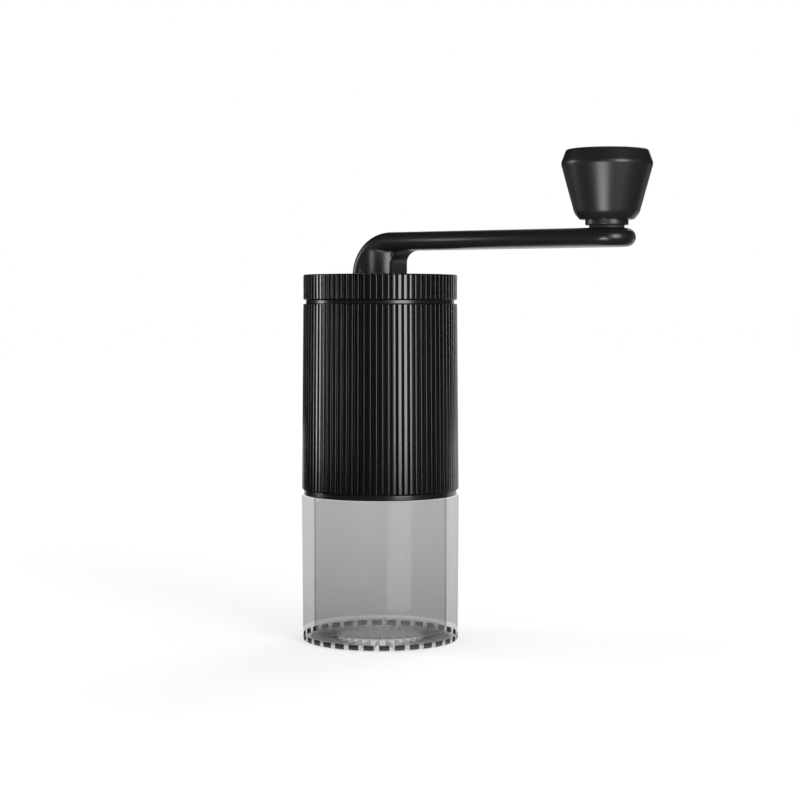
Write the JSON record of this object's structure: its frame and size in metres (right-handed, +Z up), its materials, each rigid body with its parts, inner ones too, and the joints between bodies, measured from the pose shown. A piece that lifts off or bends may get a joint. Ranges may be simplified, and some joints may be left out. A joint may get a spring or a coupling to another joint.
{
  "type": "hand crank coffee grinder",
  "caption": "Slim ribbed coffee grinder with conical burrs, turned by a bent crank arm with a cone knob, over a clear push-fit grounds jar.",
  "frame": {"origin": "centre of the jar's foot, on the grinding axis", "axes": "+Z up the grinding axis from the foot to the lid, +X from the grinding axis towards the knob at rest"},
  "size_m": [0.1216, 0.052, 0.1584],
  "materials": {
    "ribbed_black": "satin black anodised",
    "arm_black": "satin black coating",
    "knob_black": "satin",
    "collar_black": "satin",
    "inner_polymer": "matte",
    "burr_steel": "machined",
    "bright_steel": "ground",
    "silicone": "matte",
    "jar_clear": "smoky clear"
  },
  "bodies": {
    "barrel": {"body_sleeve": "ribbed_black", "chamber_tube": "collar_black", "burr_housing": "collar_black", "ring_burr": "burr_steel", "burr_clamp_ring": "bright_steel", "clamp_screws": "bright_steel", "lower_bracket": "inner_polymer", "upper_bracket": "inner_polymer", "bracket_screws": "bright_steel", "lower_outer_race": "bright_steel", "upper_outer_race": "bright_steel", "bearing_balls": "bright_steel"},
    "rotor": {"drive_shaft": "bright_steel", "lower_inner_race": "bright_steel", "upper_inner_race": "bright_steel", "shaft_clip": "bright_steel", "spring_washer": "bright_steel", "burr_drive_pin": "bright_steel", "burr_spring": "bright_steel"},
    "burr": {"inner_burr": "burr_steel", "click_plate": "bright_steel"},
    "dial": {"grind_dial": "inner_polymer", "detent_balls": "bright_steel"},
    "lid": {"lid": "ribbed_black", "lid_seal": "silicone", "lid_bush": "inner_polymer"},
    "crank": {"crank_arm": "arm_black", "drive_socket": "bright_steel", "crank_clip": "bright_steel", "knob_spindle": "bright_steel", "knob_washer": "inner_polymer"},
    "knob": {"knob": "knob_black", "knob_bush": "inner_polymer", "knob_cap": "knob_black"},
    "jar": {"grounds_jar": "jar_clear", "jar_seal": "silicone"}
  },
  "joints": [
    {"name": "lid_lift", "type": "slide", "parent": "barrel", "child": "lid", "axis": [0, 0, 1], "range_m": [0, 0.04]},
    {"name": "crank_turn", "type": "hinge", "parent": "lid", "child": "crank", "pos_m": [0, 0, 0.12], "axis": [0, 0, 1], "continuous": true},
    {"name": "knob_spin", "type": "hinge", "parent": "crank", "child": "knob", "pos_m": [0.0814, 0, 0.145], "axis": [0, 0, 1], "continuous": true},
    {"name": "rotor_turn", "type": "hinge", "parent": "barrel", "child": "rotor", "pos_m": [0, 0, 0.09], "axis": [0, 0, 1], "continuous": true},
    {"name": "burr_slide", "type": "slide", "parent": "rotor", "child": "burr", "axis": [0, 0, 1], "range_m": [-0.0015, 0], "deforming": ["burr_spring"]},
    {"name": "dial_turn", "type": "hinge", "parent": "burr", "child": "dial", "pos_m": [0, 0, 0.054], "axis": [0, 0, 1], "range_deg": [-540, 0]},
    {"name": "jar_pull", "type": "slide", "parent": "barrel", "child": "jar", "axis": [0, 0, 1], "range_m": [-0.06, 0]}
  ],
  "couplings": [
    {"joint": "rotor_turn", "follows": "crank_turn", "ratio": 1},
    {"joint": "dial_turn", "follows": "burr_slide", "rad_per_m": 6283.2}
  ]
}
